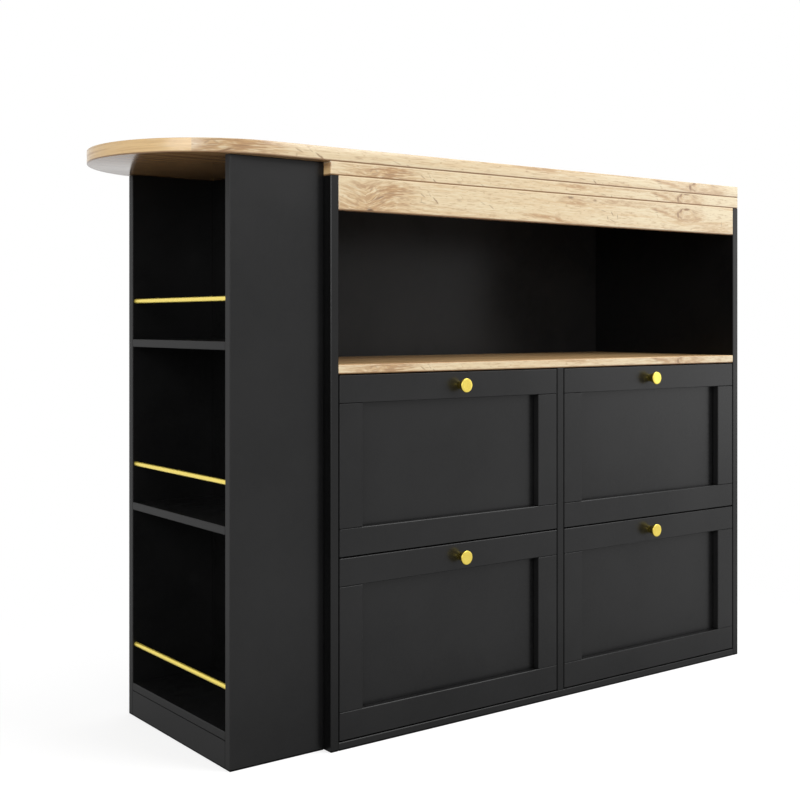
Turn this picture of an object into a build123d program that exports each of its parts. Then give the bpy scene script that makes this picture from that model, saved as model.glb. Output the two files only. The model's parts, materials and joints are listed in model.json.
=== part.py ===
from build123d import *
import os

os.makedirs("parts", exist_ok=True)

# Bar table in millimetres: x along the front, y from front to rear, z up from the floor.
# The origin lies on the floor under the middle of the cabinet.
cabinet_width = 1000
depth = 400
upright_board = 15
shelf_board = 13
top_board = 22
thin_panel = 5
edge_break = 1

# Cabinet: two rows of two drawers, and an open niche above them.
front_gap = 2
front_height = 290
niche_height = 301
apron_height = 55
rear_lip = 5
groove_depth = 6

# Tower: open on its left face, with three bays and a rail across each.
tower_width = 170
tower_setback = 20
plinth_height = 44
lower_bay_height = 300
middle_bay_height = 269
rail_diameter = 8
rail_inset = 7
rail_rise = 66
rail_bite = 10

# Worktop: its half-round end hangs over past the tower.
worktop_overhang = 136

# Drawers.
frame_width = 45
frame_board = 13
box_board = 12
box_height = 220
box_spare = 3
box_lift = 18
bottom_lift = 10
knob_diameter = 24
knob_head = 3
knob_projection = 19
knob_stem = 14
knob_neck = 2
knob_rim = 1
knob_shift = 10

# Telescopic runners: three nested channels on each side of a drawer box.
runner_space = 12.7
runner_height = 45
runner_length = 350
runner_sheet = 1.2
runner_play = 0.4
runner_lift = 80
runner_start = 2
outer_reach = 10
middle_start = 4
middle_reach = 11
inner_start = 6

# Fasteners.
fit = 0.1
fixing_inset = 80
end_screw_inset = 97
cam_diameter = 12
cam_depth = 10
cam_setback = 24
cam_slot = 1.5
cam_bolt = 6
cam_bolt_bite = 10
cam_inset = 35
dowel_diameter = 8
dowel_length = 20
screw_diameter = 4
screw_length = 30
screw_head = 8
screw_head_height = 2
counterbore = 6
runner_screw = 3.5
runner_screw_head = 6.5
runner_screw_head_height = 1.5
runner_screw_bite = 6
runner_screw_inset = 40
bolt_diameter = 6
bolt_length = 24
sleeve_diameter = 8
sleeve_length = 22
bolt_head = 15
bolt_head_height = 2
front_screw_length = 24
knob_screw = 4
knob_screw_bite = 10
knob_screw_head = 8
knob_screw_head_height = 2.5

# Levels and planes that follow from the sizes above.
front_y = -depth / 2
rear_y = depth / 2
back_y = rear_y - rear_lip - thin_panel
inner_x = cabinet_width / 2 - upright_board
opening_width = (cabinet_width - 3 * upright_board) / 2
opening_x = (upright_board + opening_width) / 2
lower_front_z = shelf_board + front_gap
upper_front_z = lower_front_z + front_height + front_gap
niche_shelf_z = upper_front_z + front_height + front_gap
top_z = niche_shelf_z + upright_board + niche_height
worktop_z = top_z + top_board
cross_middle_y = (front_y + back_y) / 2
cross_depth = back_y - front_y
fixing_rows = (-depth / 2 + fixing_inset, depth / 2 - fixing_inset)

tower_depth = depth - 2 * tower_setback
tower_right = -cabinet_width / 2
tower_left = tower_right - tower_width
tower_bay_right = tower_right - upright_board
tower_inner_y = tower_depth / 2 - upright_board
tower_shelf_middle_x = (tower_left + tower_bay_right) / 2
tower_shelf_width = tower_bay_right - tower_left
base_shelf_z = plinth_height
lower_shelf_z = base_shelf_z + shelf_board + lower_bay_height
upper_shelf_z = lower_shelf_z + shelf_board + middle_bay_height
tower_shelf_levels = (base_shelf_z, lower_shelf_z, upper_shelf_z)
rail_x = tower_left + rail_inset
rail_levels = [level + shelf_board + rail_rise for level in tower_shelf_levels]

front_width = opening_width - 2 * front_gap
front_thickness = frame_board + thin_panel
front_rear_y = front_y + front_thickness
stile_length = front_height - 2 * frame_width - 2 * fit
box_width = opening_width - 2 * runner_space
box_inner_width = box_width - 2 * box_board
box_length = runner_start + runner_length + box_spare
box_middle_y = front_rear_y + box_length / 2
box_end_offset = (box_length - box_board) / 2
box_end_rows = (box_middle_y - box_end_offset, box_middle_y + box_end_offset)
runner_middle_y = front_rear_y + runner_start + runner_length / 2
middle_height = runner_height - 2 * (runner_sheet + runner_play)
inner_height = middle_height - 2 * (runner_sheet + runner_play)
outer_hollow = runner_height - 2 * runner_sheet
middle_hollow = middle_height - 2 * runner_sheet
inner_hollow = inner_height - 2 * runner_sheet
runner_screw_rows = (
    runner_middle_y - runner_length / 2 + runner_screw_inset,
    runner_middle_y + runner_length / 2 - runner_screw_inset,
)
runner_levels = [level + box_lift + runner_lift for level in (lower_front_z, upper_front_z)]

# Fixing points, as (y, z), (x, y) or (x, z) in the plane that they are drilled into.
cross_levels = (shelf_board / 2, niche_shelf_z + upright_board / 2)
cabinet_cam_points = [(y, z) for y in fixing_rows for z in cross_levels]
apron_dowel_y = front_y + upright_board / 2
apron_dowel_points = [(apron_dowel_y, top_z - apron_height * share) for share in (0.25, 0.75)]
runner_screw_points = [(y, z) for y in runner_screw_rows for z in runner_levels]
side_middle_x = inner_x + upright_board / 2
side_dowel_points = [(x, y) for x in (-side_middle_x, side_middle_x) for y in fixing_rows]
partition_dowel_points = [(0, y) for y in fixing_rows]
end_screw_x = inner_x - end_screw_inset
worktop_screw_points = [(x, y) for x in (-end_screw_x, 0, end_screw_x) for y in fixing_rows]
back_screw_columns = (-end_screw_x, -opening_x, opening_x, end_screw_x)
back_screw_points = [(x, z) for x in back_screw_columns for z in cross_levels]
back_screw_points += [(0, runner_levels[0]), (0, runner_levels[1])]
tower_bolt_levels = (
    base_shelf_z + shelf_board + lower_bay_height / 2,
    (upper_shelf_z + shelf_board + worktop_z) / 2,
)
tower_bolt_points = [(y, z) for y in (-tower_inner_y * 0.6, tower_inner_y * 0.6) for z in tower_bolt_levels]
tower_cam_columns = (tower_left + cam_inset, tower_bay_right - cam_inset)
tower_cam_points = [(x, z + shelf_board / 2) for x in tower_cam_columns for z in tower_shelf_levels]
inner_panel_x = tower_right - upright_board / 2
inner_panel_dowel_points = [(inner_panel_x, worktop_z * share) for share in (0.12, 0.55, 0.9)]
plinth_dowel_point = (tower_left + upright_board / 2, plinth_height / 2)
tower_top_columns = (tower_left + tower_width * 0.25, tower_left + tower_width * 0.75)
tower_panel_y = tower_depth / 2 - upright_board / 2
tower_top_points = [(x, y) for x in tower_top_columns for y in (-tower_panel_y, tower_panel_y)]

dowel_hole = dowel_diameter / 2 + fit
dowel_hole_depth = dowel_length / 2 + 5 * fit
screw_hole = screw_diameter / 2 + fit
screw_head_hole = screw_head / 2 + fit
cam_bolt_hole = cam_bolt / 2 + fit
sleeve_hole = sleeve_diameter / 2 + fit
runner_screw_hole = runner_screw / 2 + fit
knob_screw_hole = knob_screw / 2 + fit


def save(builder, label):
    builder.part.label = label
    export_step(builder.part, f"parts/{label}.step")


def build_side_panel(label, side):
    inner_face = Plane.YZ.offset(side * inner_x)
    with BuildPart() as side_panel:
        with BuildSketch(Plane.XY):
            with Locations((side * side_middle_x, 0)):
                Rectangle(upright_board, depth)
        extrude(amount=top_z)
        chamfer(side_panel.edges(), edge_break)
        # Groove for the back panel.
        with BuildSketch(Plane.XY):
            with Locations((side * (inner_x + groove_depth / 2), back_y + thin_panel / 2)):
                Rectangle(groove_depth, thin_panel + 2 * fit)
        extrude(amount=top_z, mode=Mode.SUBTRACT)
        with BuildSketch(inner_face):
            with Locations(*cabinet_cam_points):
                Circle(cam_bolt_hole)
        extrude(amount=side * (cam_bolt_bite + fit), mode=Mode.SUBTRACT)
        with BuildSketch(inner_face):
            with Locations(*apron_dowel_points):
                Circle(dowel_hole)
        extrude(amount=side * dowel_hole_depth, mode=Mode.SUBTRACT)
        with BuildSketch(inner_face):
            with Locations(*runner_screw_points):
                Circle(runner_screw_hole)
        extrude(amount=side * (runner_screw_bite + fit), mode=Mode.SUBTRACT)
        with BuildSketch(Plane.XY.offset(top_z)):
            with Locations(*side_dowel_points):
                Circle(dowel_hole)
        extrude(amount=-dowel_hole_depth, mode=Mode.SUBTRACT)
        if side < 0:
            with BuildSketch(inner_face):
                with Locations(*tower_bolt_points):
                    Circle(sleeve_hole)
            extrude(amount=-upright_board, mode=Mode.SUBTRACT)
    save(side_panel, label)


build_side_panel("left_side_panel", -1)
build_side_panel("right_side_panel", 1)


def build_cross_board(label, bottom, thickness, partition_face, into_board):
    middle = bottom + thickness / 2
    with BuildPart() as cross_board:
        with BuildSketch(Plane.XY.offset(bottom)):
            with Locations((0, cross_middle_y)):
                Rectangle(2 * inner_x, cross_depth)
        extrude(amount=thickness)
        chamfer(cross_board.edges(), edge_break)
        # Cam pockets open downwards, and the bolts come in from both ends.
        with BuildSketch(Plane.XY.offset(bottom)):
            with Locations(*[(side * (inner_x - cam_setback), y) for side in (-1, 1) for y in fixing_rows]):
                Circle(cam_diameter / 2 + fit)
        extrude(amount=cam_depth + fit, mode=Mode.SUBTRACT)
        for side in (-1, 1):
            with BuildSketch(Plane.YZ.offset(side * inner_x)):
                with Locations(*[(y, middle) for y in fixing_rows]):
                    Circle(cam_bolt_hole)
            extrude(amount=-side * cam_setback, mode=Mode.SUBTRACT)
        with BuildSketch(Plane.XY.offset(partition_face)):
            with Locations(*partition_dowel_points):
                Circle(dowel_hole)
        extrude(amount=into_board * dowel_hole_depth, mode=Mode.SUBTRACT)
        with BuildSketch(Plane.XZ.offset(-back_y)):
            with Locations(*[point for point in back_screw_points if point[1] == middle]):
                Circle(screw_hole)
        extrude(amount=screw_length - thin_panel + fit, mode=Mode.SUBTRACT)
    save(cross_board, label)


build_cross_board("bottom_panel", 0, shelf_board, shelf_board, -1)
build_cross_board("niche_shelf", niche_shelf_z, upright_board, niche_shelf_z, 1)

with BuildPart() as partition:
    with BuildSketch(Plane.XY.offset(shelf_board)):
        with Locations((0, cross_middle_y)):
            Rectangle(upright_board, cross_depth)
    extrude(amount=niche_shelf_z - shelf_board)
    chamfer(partition.edges(), edge_break)
    with BuildSketch(Plane.XY.offset(shelf_board)):
        with Locations(*partition_dowel_points):
            Circle(dowel_hole)
    extrude(amount=dowel_hole_depth, mode=Mode.SUBTRACT)
    with BuildSketch(Plane.XY.offset(niche_shelf_z)):
        with Locations(*partition_dowel_points):
            Circle(dowel_hole)
    extrude(amount=-dowel_hole_depth, mode=Mode.SUBTRACT)
    for face in (-1, 1):
        with BuildSketch(Plane.YZ.offset(face * upright_board / 2)):
            with Locations(*runner_screw_points):
                Circle(runner_screw_hole)
        extrude(amount=-face * (runner_screw_bite + fit), mode=Mode.SUBTRACT)
    with BuildSketch(Plane.XZ.offset(-back_y)):
        with Locations(*[point for point in back_screw_points if point[0] == 0]):
            Circle(screw_hole)
    extrude(amount=screw_length - thin_panel + fit, mode=Mode.SUBTRACT)
save(partition, "partition")

with BuildPart() as cabinet_top:
    with BuildSketch(Plane.XY.offset(top_z)):
        Rectangle(cabinet_width, depth)
    extrude(amount=top_board)
    chamfer(cabinet_top.edges(), edge_break)
    with BuildSketch(Plane.XY.offset(top_z)):
        with Locations(*side_dowel_points):
            Circle(dowel_hole)
    extrude(amount=dowel_hole_depth, mode=Mode.SUBTRACT)
    with BuildSketch(Plane.XY.offset(top_z)):
        with Locations(*worktop_screw_points):
            Circle(screw_head_hole)
    extrude(amount=counterbore, mode=Mode.SUBTRACT)
    with BuildSketch(Plane.XY.offset(top_z + counterbore)):
        with Locations(*worktop_screw_points):
            Circle(screw_head_hole)
    extrude(amount=screw_head_height, taper=45, mode=Mode.SUBTRACT)
    with BuildSketch(Plane.XY.offset(top_z)):
        with Locations(*worktop_screw_points):
            Circle(screw_hole)
    extrude(amount=top_board, mode=Mode.SUBTRACT)
save(cabinet_top, "cabinet_top")

with BuildPart() as apron:
    with BuildSketch(Plane.XY.offset(top_z - apron_height)):
        with Locations((0, apron_dowel_y)):
            Rectangle(2 * inner_x, upright_board)
    extrude(amount=apron_height)
    chamfer(apron.edges(), edge_break)
    for side in (-1, 1):
        with BuildSketch(Plane.YZ.offset(side * inner_x)):
            with Locations(*apron_dowel_points):
                Circle(dowel_hole)
        extrude(amount=-side * dowel_hole_depth, mode=Mode.SUBTRACT)
save(apron, "apron")

with BuildPart() as back_panel:
    with BuildSketch(Plane.XY):
        with Locations((0, back_y + thin_panel / 2)):
            Rectangle(2 * (inner_x + groove_depth - fit), thin_panel)
    extrude(amount=top_z)
    with BuildSketch(Plane.XZ.offset(-back_y - thin_panel)):
        with Locations(*back_screw_points):
            Circle(screw_head_hole)
    extrude(amount=screw_head_height, taper=45, mode=Mode.SUBTRACT)
    with BuildSketch(Plane.XZ.offset(-back_y - thin_panel)):
        with Locations(*back_screw_points):
            Circle(screw_hole)
    extrude(amount=thin_panel, mode=Mode.SUBTRACT)
save(back_panel, "back_panel")

arc_x = tower_left - worktop_overhang + depth / 2
with BuildPart() as worktop:
    with BuildSketch(Plane.XY.offset(worktop_z)):
        with Locations(((arc_x + cabinet_width / 2) / 2, 0)):
            Rectangle(cabinet_width / 2 - arc_x, depth)
        with Locations((arc_x, 0)):
            Circle(depth / 2)
    extrude(amount=top_board)
    chamfer(worktop.edges(), edge_break)
    with BuildSketch(Plane.XY.offset(worktop_z)):
        with Locations(*tower_top_points):
            Circle(dowel_hole)
    extrude(amount=dowel_hole_depth, mode=Mode.SUBTRACT)
    with BuildSketch(Plane.XY.offset(worktop_z)):
        with Locations(*worktop_screw_points):
            Circle(screw_hole)
    extrude(amount=counterbore + screw_length - top_board + fit, mode=Mode.SUBTRACT)
save(worktop, "worktop")


def build_tower_panel(label, side):
    inner_face = Plane.XZ.offset(-side * tower_inner_y)
    with BuildPart() as tower_panel:
        with BuildSketch(Plane.XY):
            with Locations((tower_left + tower_width / 2, side * tower_panel_y)):
                Rectangle(tower_width, upright_board)
        extrude(amount=worktop_z)
        chamfer(tower_panel.edges(), edge_break)
        with BuildSketch(inner_face):
            with Locations(*tower_cam_points):
                Circle(cam_bolt_hole)
        extrude(amount=-side * (cam_bolt_bite + fit), mode=Mode.SUBTRACT)
        with BuildSketch(inner_face):
            with Locations(*inner_panel_dowel_points, plinth_dowel_point):
                Circle(dowel_hole)
        extrude(amount=-side * dowel_hole_depth, mode=Mode.SUBTRACT)
        with BuildSketch(inner_face):
            with Locations(*[(rail_x, z) for z in rail_levels]):
                Circle(rail_diameter / 2 + fit)
        extrude(amount=-side * (rail_bite + fit), mode=Mode.SUBTRACT)
        with BuildSketch(Plane.XY.offset(worktop_z)):
            with Locations(*tower_top_points):
                Circle(dowel_hole)
        extrude(amount=-dowel_hole_depth, mode=Mode.SUBTRACT)
    save(tower_panel, label)


build_tower_panel("tower_front_panel", -1)
build_tower_panel("tower_rear_panel", 1)

with BuildPart() as tower_inner_panel:
    with BuildSketch(Plane.XY):
        with Locations((inner_panel_x, 0)):
            Rectangle(upright_board, 2 * tower_inner_y)
    extrude(amount=worktop_z)
    chamfer(tower_inner_panel.edges(), edge_break)
    for side in (-1, 1):
        with BuildSketch(Plane.XZ.offset(-side * tower_inner_y)):
            with Locations(*inner_panel_dowel_points):
                Circle(dowel_hole)
        extrude(amount=side * dowel_hole_depth, mode=Mode.SUBTRACT)
    with BuildSketch(Plane.YZ.offset(tower_right)):
        with Locations(*tower_bolt_points):
            Circle(sleeve_hole)
    extrude(amount=-upright_board, mode=Mode.SUBTRACT)
save(tower_inner_panel, "tower_inner_panel")


def build_tower_shelf(label, bottom):
    with BuildPart() as tower_shelf:
        with BuildSketch(Plane.XY.offset(bottom)):
            with Locations((tower_shelf_middle_x, 0)):
                Rectangle(tower_shelf_width, 2 * tower_inner_y)
        extrude(amount=shelf_board)
        chamfer(tower_shelf.edges(), edge_break)
        cam_y = tower_inner_y - cam_setback
        with BuildSketch(Plane.XY.offset(bottom)):
            with Locations(*[(x, y) for x in tower_cam_columns for y in (-cam_y, cam_y)]):
                Circle(cam_diameter / 2 + fit)
        extrude(amount=cam_depth + fit, mode=Mode.SUBTRACT)
        for side in (-1, 1):
            with BuildSketch(Plane.XZ.offset(-side * tower_inner_y)):
                with Locations(*[(x, bottom + shelf_board / 2) for x in tower_cam_columns]):
                    Circle(cam_bolt_hole)
            extrude(amount=side * cam_setback, mode=Mode.SUBTRACT)
    save(tower_shelf, label)


build_tower_shelf("tower_base_shelf", base_shelf_z)
build_tower_shelf("tower_lower_shelf", lower_shelf_z)
build_tower_shelf("tower_upper_shelf", upper_shelf_z)

with BuildPart() as tower_plinth:
    with BuildSketch(Plane.XY):
        with Locations((tower_left + upright_board / 2, 0)):
            Rectangle(upright_board, 2 * tower_inner_y)
    extrude(amount=plinth_height)
    chamfer(tower_plinth.edges(), edge_break)
    for side in (-1, 1):
        with BuildSketch(Plane.XZ.offset(-side * tower_inner_y)):
            with Locations(plinth_dowel_point):
                Circle(dowel_hole)
        extrude(amount=side * dowel_hole_depth, mode=Mode.SUBTRACT)
save(tower_plinth, "tower_plinth")


def build_rail(label, level):
    with BuildPart() as rail:
        with BuildSketch(Plane.XZ):
            with Locations((rail_x, level)):
                Circle(rail_diameter / 2)
        extrude(amount=tower_inner_y + rail_bite, both=True)
        chamfer(rail.edges().filter_by(GeomType.CIRCLE), rail_diameter / 16)
    save(rail, label)


for rail_label, rail_level in zip(("lower_rail", "middle_rail", "upper_rail"), rail_levels):
    build_rail(rail_label, rail_level)

# Cam fittings: a slotted disc in the board's underside, and a bolt from the upright into the disc.
with BuildPart() as cam_fittings:
    cabinet_cam_x = inner_x - cam_setback
    tower_cam_y = tower_inner_y - cam_setback
    cabinet_seats = [(x, y) for x in (-cabinet_cam_x, cabinet_cam_x) for y in fixing_rows]
    tower_seats = [(x, y) for x in tower_cam_columns for y in (-tower_cam_y, tower_cam_y)]
    seats = [(level, cabinet_seats) for level in (0, niche_shelf_z)]
    seats += [(level, tower_seats) for level in tower_shelf_levels]
    for level, points in seats:
        with BuildSketch(Plane.XY.offset(level)):
            with Locations(*points):
                Circle(cam_diameter / 2)
        extrude(amount=cam_depth)
        with BuildSketch(Plane.XY.offset(level)):
            with Locations(*points):
                Rectangle(cam_diameter, cam_slot)
        extrude(amount=cam_slot, mode=Mode.SUBTRACT)
    for side in (-1, 1):
        with BuildSketch(Plane.YZ.offset(side * inner_x)):
            with Locations(*cabinet_cam_points):
                Circle(cam_bolt_hole)
        extrude(amount=-side * cam_setback, mode=Mode.SUBTRACT)
        with BuildSketch(Plane.XZ.offset(-side * tower_inner_y)):
            with Locations(*tower_cam_points):
                Circle(cam_bolt_hole)
        extrude(amount=side * cam_setback, mode=Mode.SUBTRACT)
    for side in (-1, 1):
        with BuildSketch(Plane.YZ.offset(side * (inner_x + cam_bolt_bite))):
            with Locations(*cabinet_cam_points):
                Circle(cam_bolt / 2)
        extrude(amount=-side * (cam_bolt_bite + cam_setback - cam_bolt / 4))
        with BuildSketch(Plane.XZ.offset(-side * (tower_inner_y + cam_bolt_bite))):
            with Locations(*tower_cam_points):
                Circle(cam_bolt / 2)
        extrude(amount=side * (cam_bolt_bite + cam_setback - cam_bolt / 4))
save(cam_fittings, "cam_fittings")

with BuildPart() as dowels:
    for level, points in (
        (shelf_board, partition_dowel_points),
        (niche_shelf_z, partition_dowel_points),
        (top_z, side_dowel_points),
        (worktop_z, tower_top_points),
    ):
        with BuildSketch(Plane.XY.offset(level)):
            with Locations(*points):
                Circle(dowel_diameter / 2)
        extrude(amount=dowel_length / 2, both=True)
    for side in (-1, 1):
        with BuildSketch(Plane.YZ.offset(side * inner_x)):
            with Locations(*apron_dowel_points):
                Circle(dowel_diameter / 2)
        extrude(amount=dowel_length / 2, both=True)
        with BuildSketch(Plane.XZ.offset(side * tower_inner_y)):
            with Locations(*inner_panel_dowel_points, plinth_dowel_point):
                Circle(dowel_diameter / 2)
        extrude(amount=dowel_length / 2, both=True)
save(dowels, "dowels")

# Faces that carry an outer runner, each with the direction towards its drawer.
runner_faces = (
    (-inner_x, 1),
    (-upright_board / 2, -1),
    (upright_board / 2, 1),
    (inner_x, -1),
)

with BuildPart() as cabinet_screws:
    with BuildSketch(Plane.XZ.offset(-back_y - thin_panel)):
        with Locations(*back_screw_points):
            Circle(screw_head / 2)
    extrude(amount=screw_head_height, taper=45)
    with BuildSketch(Plane.XZ.offset(-back_y - thin_panel)):
        with Locations(*back_screw_points):
            Circle(screw_diameter / 2)
    extrude(amount=screw_length)
    with BuildSketch(Plane.XY.offset(top_z + counterbore)):
        with Locations(*worktop_screw_points):
            Circle(screw_head / 2)
    extrude(amount=screw_head_height, taper=45)
    with BuildSketch(Plane.XY.offset(top_z + counterbore)):
        with Locations(*worktop_screw_points):
            Circle(screw_diameter / 2)
    extrude(amount=screw_length)
    for face_x, towards in runner_faces:
        with BuildSketch(Plane.YZ.offset(face_x + towards * runner_sheet)):
            with Locations(*runner_screw_points):
                Circle(runner_screw_head / 2)
        extrude(amount=towards * runner_screw_head_height)
        with BuildSketch(Plane.YZ.offset(face_x + towards * runner_sheet)):
            with Locations(*runner_screw_points):
                Circle(runner_screw / 2)
        extrude(amount=-towards * (runner_sheet + runner_screw_bite))
save(cabinet_screws, "cabinet_screws")

# Connecting bolts: each bolt screws into a sleeve that comes from the cabinet's side.
with BuildPart() as tower_bolts:
    with BuildSketch(Plane.YZ.offset(-inner_x)):
        with Locations(*tower_bolt_points):
            Circle(bolt_head / 2)
    extrude(amount=bolt_head_height)
    with BuildSketch(Plane.YZ.offset(-inner_x)):
        with Locations(*tower_bolt_points):
            Circle(sleeve_diameter / 2)
    extrude(amount=-sleeve_length)
    with BuildSketch(Plane.YZ.offset(-inner_x - sleeve_length)):
        with Locations(*tower_bolt_points):
            Circle(bolt_diameter / 2 + fit)
    extrude(amount=sleeve_length, mode=Mode.SUBTRACT)
    with BuildSketch(Plane.YZ.offset(tower_bay_right)):
        with Locations(*tower_bolt_points):
            Circle(bolt_head / 2)
    extrude(amount=-bolt_head_height)
    with BuildSketch(Plane.YZ.offset(tower_bay_right)):
        with Locations(*tower_bolt_points):
            Circle(bolt_diameter / 2)
    extrude(amount=bolt_length)
save(tower_bolts, "tower_bolts")

with BuildPart() as outer_runners:
    for face_x, towards in runner_faces:
        for level in runner_levels:
            with BuildSketch(Plane.XZ.offset(-runner_middle_y)):
                with Locations((face_x + towards * outer_reach / 2, level)):
                    Rectangle(outer_reach, runner_height)
                with Locations((face_x + towards * (outer_reach + runner_sheet) / 2, level)):
                    Rectangle(outer_reach - runner_sheet, outer_hollow, mode=Mode.SUBTRACT)
            extrude(amount=runner_length / 2, both=True)
        with BuildSketch(Plane.YZ.offset(face_x)):
            with Locations(*runner_screw_points):
                Circle(runner_screw_hole)
        extrude(amount=towards * runner_sheet, mode=Mode.SUBTRACT)
save(outer_runners, "outer_runners")


def build_drawer(place, centre_x, front_z):
    middle_z = front_z + front_height / 2
    box_z = front_z + box_lift
    runner_z = box_z + runner_lift
    knob_x = centre_x - knob_shift if centre_x > 0 else centre_x + knob_shift
    knob_z = front_z + front_height - frame_width / 2
    knob_point = (knob_x, knob_z)
    rail_offset = (front_height - frame_width) / 2
    stile_offset = (front_width - frame_width) / 2
    front_screw_x = box_inner_width / 2 - box_board
    front_screw_levels = (box_z + box_height * 0.25, box_z + box_height * 0.75)
    front_screw_points = [
        (centre_x + side * front_screw_x, level) for side in (-1, 1) for level in front_screw_levels
    ]
    box_front_inner_y = front_rear_y + box_board
    bottom_z = box_z + bottom_lift

    with BuildPart() as front_frame:
        with BuildSketch(Plane.XZ.offset(-front_y)):
            with Locations((centre_x, middle_z - rail_offset), (centre_x, middle_z + rail_offset)):
                Rectangle(front_width, frame_width)
            with Locations((centre_x - stile_offset, middle_z), (centre_x + stile_offset, middle_z)):
                Rectangle(frame_width, stile_length)
        extrude(amount=-frame_board)
        chamfer(front_frame.edges(), edge_break)
        with BuildSketch(Plane.XZ.offset(-front_y)):
            with Locations(knob_point):
                Circle(knob_screw_hole)
        extrude(amount=-frame_board, mode=Mode.SUBTRACT)
        with BuildSketch(Plane.XZ.offset(-front_rear_y)):
            with Locations(*front_screw_points):
                Circle(screw_hole)
        extrude(amount=front_screw_length - box_board + fit, mode=Mode.SUBTRACT)
    save(front_frame, f"{place}_front_frame")

    with BuildPart() as front_panel:
        with BuildSketch(Plane.XZ.offset(-front_rear_y)):
            with Locations((centre_x, middle_z)):
                Rectangle(front_width, front_height)
            with Locations(knob_point):
                Circle(knob_screw_hole, mode=Mode.SUBTRACT)
            with Locations(*front_screw_points):
                Circle(screw_hole, mode=Mode.SUBTRACT)
        extrude(amount=thin_panel)
    save(front_panel, f"{place}_front_panel")

    with BuildPart() as box_sides:
        side_offset = (box_width - box_board) / 2
        with BuildSketch(Plane.XY.offset(box_z)):
            with Locations((centre_x - side_offset, box_middle_y), (centre_x + side_offset, box_middle_y)):
                Rectangle(box_board, box_length)
        extrude(amount=box_height)
        chamfer(box_sides.edges(), edge_break)
        # Groove for the bottom, along both sides.
        with BuildSketch(Plane.XY.offset(bottom_z)):
            with Locations((centre_x, box_middle_y)):
                Rectangle(box_inner_width + 2 * groove_depth, box_length)
        extrude(amount=thin_panel + 2 * fit, mode=Mode.SUBTRACT)
        for side in (-1, 1):
            with BuildSketch(Plane.YZ.offset(centre_x + side * box_width / 2)):
                with Locations(*[(y, runner_z) for y in runner_screw_rows]):
                    Circle(runner_screw_hole)
            extrude(amount=-side * (runner_screw_bite + fit), mode=Mode.SUBTRACT)
    save(box_sides, f"{place}_box_sides")

    with BuildPart() as box_ends:
        with BuildSketch(Plane.XY.offset(box_z)):
            with Locations((centre_x, box_end_rows[0]), (centre_x, box_end_rows[1])):
                Rectangle(box_inner_width, box_board)
        extrude(amount=box_height)
        chamfer(box_ends.edges(), edge_break)
        with BuildSketch(Plane.XY.offset(bottom_z)):
            with Locations((centre_x, box_middle_y)):
                Rectangle(box_inner_width, box_length - 2 * box_board + 2 * groove_depth)
        extrude(amount=thin_panel + 2 * fit, mode=Mode.SUBTRACT)
        with BuildSketch(Plane.XZ.offset(-box_front_inner_y)):
            with Locations(*front_screw_points):
                Circle(screw_head_hole)
        extrude(amount=screw_head_height, taper=45, mode=Mode.SUBTRACT)
        with BuildSketch(Plane.XZ.offset(-box_front_inner_y)):
            with Locations(*front_screw_points):
                Circle(screw_hole)
        extrude(amount=box_board, mode=Mode.SUBTRACT)
    save(box_ends, f"{place}_box_ends")

    with BuildPart() as box_bottom:
        groove_reach = 2 * (groove_depth - fit)
        with BuildSketch(Plane.XY.offset(bottom_z + fit)):
            with Locations((centre_x, box_middle_y)):
                Rectangle(box_inner_width + groove_reach, box_length - 2 * box_board + groove_reach)
        extrude(amount=thin_panel)
    save(box_bottom, f"{place}_box_bottom")

    # Knob: a round stem that flares out to a flat face with a bevelled rim.
    with BuildPart() as knob:
        with BuildSketch(Plane.XY.offset(knob_z)):
            with BuildLine():
                Polyline(
                    (knob_x, front_y),
                    (knob_x + knob_stem / 2, front_y),
                    (knob_x + knob_stem / 2, front_y - knob_neck),
                    (knob_x + knob_diameter / 2, front_y - knob_projection + knob_head),
                    (knob_x + knob_diameter / 2, front_y - knob_projection + knob_rim),
                    (knob_x + knob_diameter / 2 - knob_rim, front_y - knob_projection),
                    (knob_x, front_y - knob_projection),
                    close=True,
                )
            make_face()
        revolve(axis=Axis((knob_x, front_y, knob_z), (0, 1, 0)))
        with BuildSketch(Plane.XZ.offset(-front_y)):
            with Locations(knob_point):
                Circle(knob_screw_hole)
        extrude(amount=knob_screw_bite + fit, mode=Mode.SUBTRACT)
    save(knob, f"{place}_knob")

    with BuildPart() as screws:
        with BuildSketch(Plane.XZ.offset(-front_rear_y)):
            with Locations(knob_point):
                Circle(knob_screw_head / 2)
        extrude(amount=-knob_screw_head_height)
        with BuildSketch(Plane.XZ.offset(-front_rear_y)):
            with Locations(knob_point):
                Circle(knob_screw / 2)
        extrude(amount=front_thickness + knob_screw_bite)
        with BuildSketch(Plane.XZ.offset(-box_front_inner_y)):
            with Locations(*front_screw_points):
                Circle(screw_head / 2)
        extrude(amount=screw_head_height, taper=45)
        with BuildSketch(Plane.XZ.offset(-box_front_inner_y)):
            with Locations(*front_screw_points):
                Circle(screw_diameter / 2)
        extrude(amount=front_screw_length)
        for side in (-1, 1):
            web_face = Plane.YZ.offset(centre_x + side * (box_width / 2 + runner_sheet))
            with BuildSketch(web_face):
                with Locations(*[(y, runner_z) for y in runner_screw_rows]):
                    Circle(runner_screw_head / 2)
            extrude(amount=side * runner_screw_head_height)
            with BuildSketch(web_face):
                with Locations(*[(y, runner_z) for y in runner_screw_rows]):
                    Circle(runner_screw / 2)
            extrude(amount=-side * (runner_sheet + runner_screw_bite))
    save(screws, f"{place}_screws")

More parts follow.
